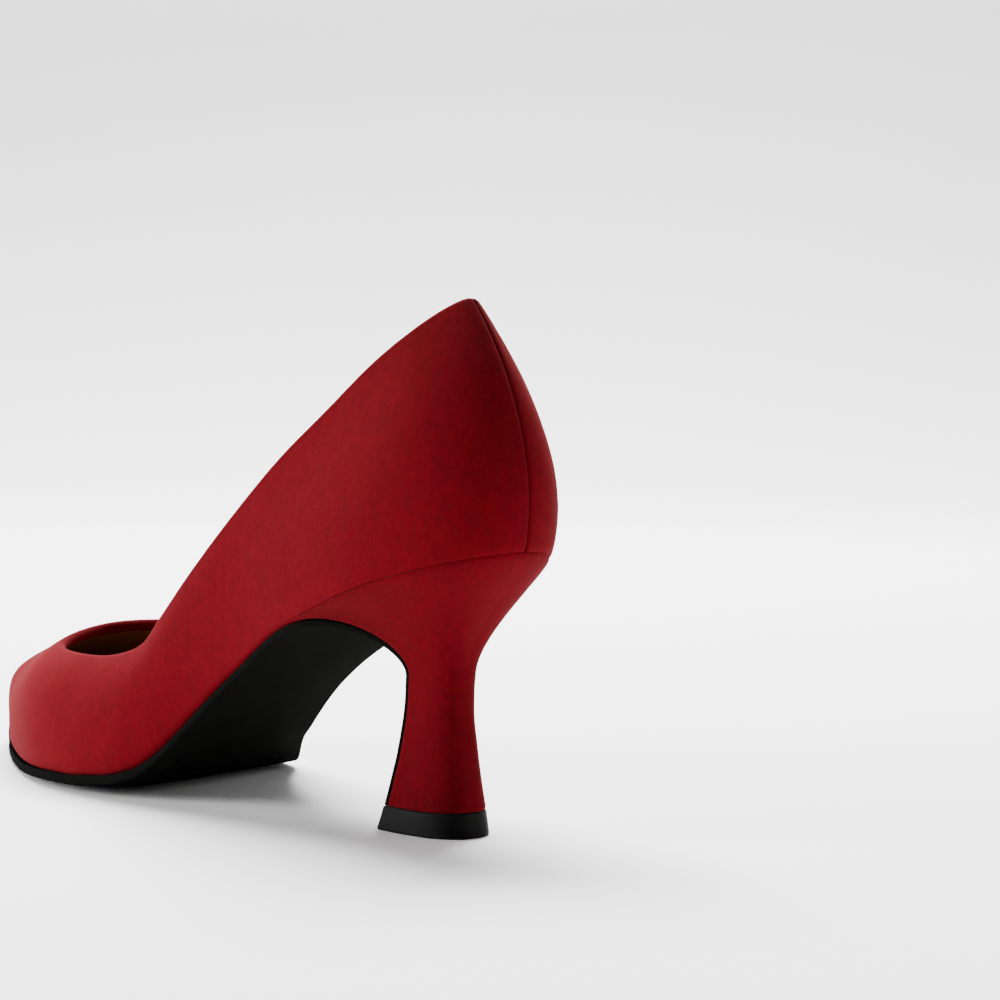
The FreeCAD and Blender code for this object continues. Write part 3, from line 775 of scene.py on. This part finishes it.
insock()


# ---- heel ---------------------------------------------------------------------------------
# Thickness of the heel's suede. Its borders sink where they meet the seat, the breast and
# the top piece: reach in shares of the heel and depth, and never deeper than DEEPEST_DIP.
HEEL_SUEDE, DEEPEST_DIP = 0.6, 0.5
SEAT_DIP, BREAST_DIP, FOOT_DIP = (0.022, 0.38), (0.024, 0.35), (0.012, 0.3)
# Height and inset of the rounded lower and upper rim of the top piece.
LOWER_RIM, UPPER_RIM = [(0.0, 0.45), (0.12, 0.2), (0.4, 0.0)], [(5.5, 0.05), (5.7, 0.3)]
# How far the top piece stands out in front of the heel, and the share of that at the floor.
TOP_PIECE_REACH, FLOOR_SHARE = 1.15, 0.4
# Points of a section of the top piece round the heel and across its front.
TOP_PIECE_ROUND, TOP_PIECE_FRONT = 57, 12


def heel_covering():
    heights = ([0, 0.004, 0.012] + spread(0.025, 0.5, 26) + spread(0.5, 1, 44)[1:-3]
               + [0.975, 0.988, 0.996, 1.0])
    corner_places = [0.975, 0.988, 0.996, 1]
    around = [-u for u in reversed(corner_places)] + spread(-0.955, 0.955, 81) + corner_places
    outer, inner = [], []
    for u in around:
        front = []
        for v in heights:
            dip = (rounding(1 - v, *SEAT_DIP) + rounding(1 - abs(u), *BREAST_DIP)
                   + rounding(v, *FOOT_DIP))
            front.append(heel_layer(u, v, min(dip, DEEPEST_DIP)))
        outer.append(front)
        inner.append([heel_layer(u, v, HEEL_SUEDE) for v in heights])
    verts, faces = sheet_solid(outer, inner)
    return make("heel_cover_suede", verts, faces, [suede_heel_painted_shade], ["heel_cover"])


def top_piece():
    rows = []
    for z, inset in LOWER_RIM + [(z, 0.0) for z in spread(0.9, 5.0, 6)] + UPPER_RIM:
        section = [heel_section(z, u) for u in spread(-1, 1, TOP_PIECE_ROUND)]
        front = section[0].x
        middle = point((heel_back(z) + heel_front(z)) / 2, 0, z)
        reach = TOP_PIECE_REACH * (FLOOR_SHARE + (1 - FLOOR_SHARE) * z / TOP_PIECE)
        loop = []
        for place in section:
            forward = max(0, (place.x - middle.x) / (front - middle.x))
            place = point(place.x + reach * forward ** 2, place.y, z)
            loop.append(place - (place - middle).normalized() * inset)
        outer_corner, inner_corner = loop[-1], loop[0]
        loop += [outer_corner.lerp(inner_corner, share)
                 for share in spread(0, 1, TOP_PIECE_FRONT)[1:-1]]
        rows.append(loop)
    verts, faces = tube_rows(rows)
    return make("top_piece_rubber", verts, faces, [rubber], ["top_piece"], sharp=35)


heel_covering()
top_piece()


# ---- sole ---------------------------------------------------------------------------------
# The groove along the rim of the tread: distance from the edge and depth. It starts at
# GROOVE_START and sets in over FADE. CEMENT is the gap above the sole.
GROOVE = [(1.9, 0.0), (2.15, 0.22), (2.45, 0.22), (2.7, 0.0)]
GROOVE_START, FADE = 150, 8
CEMENT = 0.05
# Distances of the columns from the edge, where the even columns start, and the width below
# which all these distances shrink.
SOLE_RIM = [0.0, 0.3, 0.7, 1.3] + [place for place, _ in GROOVE] + [3.2, 4.6]
SOLE_BODY, SOLE_NARROW = 6.5, 16
# Even columns on the tread, and columns on the upper side.
TREAD_COLUMNS, UPPER_COLUMNS = 17, 12
# The cut edge: its bevel and the largest share of the thickness for it, the inset of its
# upper corner, and the share of the thickness at which it is widest.
BEVEL, BEVEL_SHARE, EDGE_INSET, SHOULDER = 0.45, 0.3, 0.2, 0.25
# At the edge the tread rises by a share of the bevel and keeps off by a share of the inset.
EDGE_RISE, EDGE_CLEARANCE = 0.6, 0.6
# Thickness of the flap on the heel's breast at the top piece and at the seat.
FLAP = (1.1, 1.7)


def sole_section(outer, inner, down, thickness, groove, drape):
    """Closed loop round the sole from the outer to the inner edge. A draped one follows the
    seat and stays above the floor."""
    width = (outer - inner).length
    scale = min(1.0, width / SOLE_NARROW)
    bevel = min(BEVEL, thickness * BEVEL_SHARE)
    cuts = dict(GROOVE)

    def at(across, drop):
        place = outer.lerp(inner, across / width)
        if drape:
            place.z = seat(place.x, place.y) - CEMENT
        return place + down * drop
    rim, body = [distance * scale for distance in SOLE_RIM], SOLE_BODY * scale
    far_rim = [width - distance for distance in reversed(rim)]
    places = rim + spread(body, width - body, TREAD_COLUMNS) + far_rim
    inset, shoulder = EDGE_INSET * scale, SHOULDER * thickness
    loop = [at(inset, 0), at(0, shoulder), at(0, thickness - bevel)]
    for across in places:
        near = min(across, width - across)
        sunk = cuts.get(round(near / scale, 4), 0.0) * groove
        chamfer = rounding(near, BEVEL * scale, EDGE_RISE * bevel)
        kept = min(max(across, EDGE_CLEARANCE * inset), width - EDGE_CLEARANCE * inset)
        loop.append(at(kept, thickness - sunk - chamfer))
    loop += [at(width, thickness - bevel), at(width, shoulder), at(width - inset, 0)]
    loop += [at(across, 0) for across in reversed(spread(scale, width - scale, UPPER_COLUMNS))]
    if drape:
        for place in loop:
            place.z = max(place.z, 0.0)
    return loop


def breast_sections():
    """The flap of the sole up the breast of the heel, thicker towards the seat."""
    step = 0.01
    for v in spread(0, 1, 40)[:-1]:
        rising = heel_side(1, min(v + step, 1)) - heel_side(1, max(v - step, 0))
        normal = point(rising.z, 0, -rising.x).normalized()
        outer, inner = heel_side(1, v) + normal * CEMENT, heel_side(-1, v) + normal * CEMENT
        yield sole_section(outer, inner, normal, between(FLAP, v ** 4), 0.0, False)


def tread_sections():
    """The sole from the heel to the toe, with sections closer together at the toe."""
    last, nearest_toe, setback = 149, 0.9985, 0.5
    for k in range(1, last + 1):
        along = math.sin(math.pi / 2 * min(k / last, nearest_toe))
        sides = []
        for u in (between((OUTER_TIP, 0.5), along), between((1 + INNER_TIP, 0.5), along)):
            rim, inward = edge(u), inner_side(u)[0]
            sides.append(rim - inward * (setback * clamp((rim.x - SOLE_START) / FADE)))
        s = (sides[0].x + sides[1].x) / 2
        yield sole_section(*sides, -UP, thick(s), clamp((s - GROOVE_START) / FADE), True)


def outsole():
    verts, faces = tube_rows([*breast_sections(), *tread_sections()])
    return make("outsole_black", verts, faces, [sole_black], ["outsole"], sharp=42)


outsole()


# ---- border of the tread ------------------------------------------------------------------
# A wavy line across the tread at BORDER_START, turned by BORDER_SLOPE, with three pairs of
# rings that are a little wider than long.
BORDER_START, BORDER_SLOPE, BORDER_WIDTH = 124.5, 0.42, (-27, 28)
WAVE_HEIGHT, WAVE_LENGTH, WAVE_CORD = 1.5, 20, 0.3
RING_MIDDLES, RING_RADII, RING_STRETCH, RING_CORD = (-20, 0, 20), (1.5, 3.3), 1.25, 0.28
CORD_SIDES = 8


def add_cord(verts, faces, path, radius, is_ring):
    """Add a half-sunk round cord that lies on the tread along a path of (s, w)."""
    count, start = len(path), len(verts)
    middles = [point(s, w, seat(s, w) - thick(s) - CEMENT) for s, w in path]
    for i, middle in enumerate(middles):
        before = middles[i - 1] if is_ring or i else middle
        after = middles[(i + 1) % count] if is_ring or i < count - 1 else middle
        along = (after - before).normalized()
        across = along.cross(UP).normalized()
        rising = across.cross(along)
        for angle in spread(0, 2 * math.pi, CORD_SIDES + 1)[:-1]:
            verts.append(middle + (across * math.cos(angle) + rising * math.sin(angle)) * radius)
    for i in range(count if is_ring else count - 1):
        here, there = start + i * CORD_SIDES, start + (i + 1) % count * CORD_SIDES
        for k in range(CORD_SIDES):
            beside = (k + 1) % CORD_SIDES
            faces.append((here + k, here + beside, there + beside, there + k))
    if not is_ring:
        for end in (start, start + (count - 1) * CORD_SIDES):
            faces.append(tuple(range(end, end + CORD_SIDES)))


def tread_border():
    """Raised wavy line with rings across the tread, just behind where it meets the floor."""
    def border(w):
        return BORDER_START - BORDER_SLOPE * w
    verts, faces = [], []
    wave = [(border(w) + WAVE_HEIGHT * math.sin(2 * math.pi * w / WAVE_LENGTH), w)
            for w in spread(*BORDER_WIDTH, 150)]
    add_cord(verts, faces, wave, WAVE_CORD, False)
    for middle in RING_MIDDLES:
        for radius in RING_RADII:
            ring = []
            for angle in spread(0, 2 * math.pi, 37)[:-1]:
                w = middle + radius * RING_STRETCH * math.sin(angle)
                ring.append((border(w) + radius * math.cos(angle), w))
            add_cord(verts, faces, ring, RING_CORD, True)
    return make("tread_border", verts, faces, [sole_black])


tread_border()


# ---- stage and lights ---------------------------------------------------------------------
# Paper sweep in metres: floor towards and away from the camera, radius of the bend, height
# of the wall, half the width, and how far it lies below the sole.
FLOOR_NEAR, FLOOR_FAR, BEND, PAPER_WALL, HALF_PAPER, PAPER_GAP = 3.2, 1.4, 1.6, 2.5, 5, 0.0001


def paper_sweep():
    outline = [(along, 0.0) for along in spread(-FLOOR_NEAR, FLOOR_FAR, 11)]
    outline += [(FLOOR_FAR + BEND * math.sin(angle), BEND * (1 - math.cos(angle)))
                for angle in spread(0.05, math.pi / 2, 18)]
    outline += [(FLOOR_FAR + BEND, BEND + PAPER_WALL)]
    verts, faces = [], []
    for along, z in outline:
        for across in (HALF_PAPER, -HALF_PAPER):
            place = away * along + right * across
            verts.append((place.x, place.y, z - PAPER_GAP))
    for i in range(len(outline) - 1):
        faces.append((2 * i, 2 * i + 1, 2 * i + 3, 2 * i + 2))
    mesh = bpy.data.meshes.new("studio_floor")
    mesh.from_pydata(verts, [], faces)
    mesh.polygons.foreach_set("use_smooth", [True] * len(faces))
    obj = bpy.data.objects.new("studio_floor", mesh)
    bpy.context.scene.collection.objects.link(obj)
    shader = Shader("studio_paper", Specular_IOR_Level=0.1, Roughness=0.9)
    paper = shader.speckle(3, 2, 0.5)
    shader.colour(shader.ramp(paper, [(0.3, (0.85, 0.85, 0.85)), (0.7, (0.865, 0.865, 0.865))]))
    mesh.materials.append(shader.mat)


def area_light(name, place, target, size, power):
    data = bpy.data.lights.new(name, "AREA")
    data.shape, data.size, data.size_y = "RECTANGLE", size[0], size[1]
    data.energy = power
    obj = bpy.data.objects.new(name, data)
    bpy.context.scene.collection.objects.link(obj)
    obj.location = place
    obj.rotation_mode = "QUATERNION"
    obj.rotation_quaternion = (target - place).to_track_quat("-Z", "Y")


def ambient(strength):
    world_shader = bpy.data.worlds.new("studio")
    world_shader.use_nodes = True
    background = world_shader.node_tree.nodes["Background"]
    background.inputs["Color"].default_value = (1, 1, 1, 1)
    background.inputs["Strength"].default_value = strength
    bpy.context.scene.world = world_shader


# Lights in metres: a low key from the left, a small accent on the outer side above the
# heel, a large top light from beyond the shoe, a weak one from the right and one for the
# backdrop.
paper_sweep()
area_light("key", -away * 0.25 - right * 1.9 + UP * 0.47, UP * 0.09, (0.8, 0.6), 41)
area_light("accent", -away * 0.05 - right * 0.6 + UP * 0.34, world(point(35, 20, 85)), (0.2, 0.2), 2.6)
area_light("top", away * 0.98 - right * 0.1 + UP * 1.53, Vector((0, 0, 0)), (1.4, 0.9), 205)
area_light("rim", right * 1.5 + away * 0.1 + UP * 0.6, UP * 0.06, (1.0, 1.0), 8)
area_light("backdrop", away * 1.5 + UP * 1.9, away * 3.0 + UP * 1.25, (3.0, 0.8), 96)
ambient(0.065)
